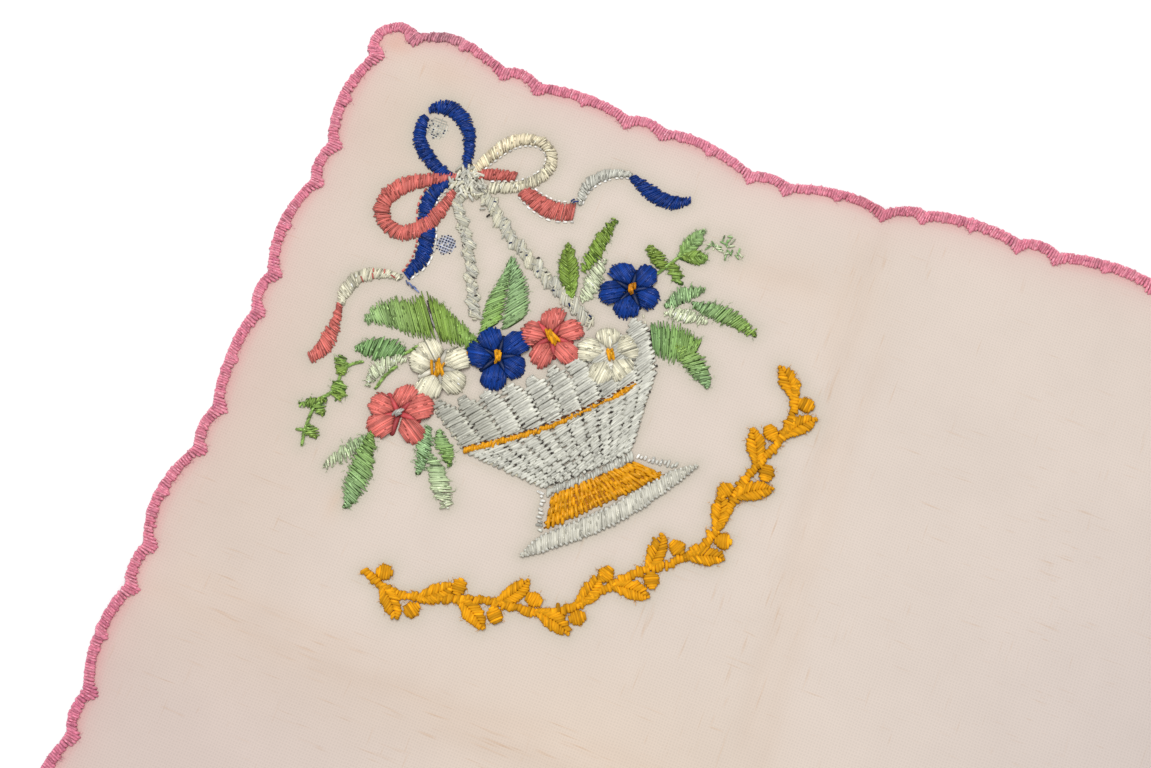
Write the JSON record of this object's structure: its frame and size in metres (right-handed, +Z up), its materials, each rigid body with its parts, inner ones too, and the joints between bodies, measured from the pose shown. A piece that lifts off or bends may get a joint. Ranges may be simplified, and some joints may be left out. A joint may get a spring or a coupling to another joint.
{
  "type": "embroidered handkerchief",
  "caption": "Sheer peach handkerchief lying unfolded, with a scalloped pink whipped edge and a raised flower basket, bow and leaf spray in one corner.",
  "frame": {"origin": "centre of the sheet, on the surface it lies on", "axes": "+Z up out of the surface, +Y along the longer side towards the embroidered corner's upper edge, +X to the right"},
  "size_m": [0.2475, 0.2665, 0.0037],
  "materials": {
    "sheer_cloth": "thin plain weave, slightly see-through, matt with a faint sheen",
    "edge_thread": "pink sewing thread in close whip stitches",
    "satin_thread": "glossy embroidery thread in satin stitch, many colours"
  },
  "bodies": {
    "root": {"handkerchief": "sheer_cloth"}
  },
  "joints": []
}
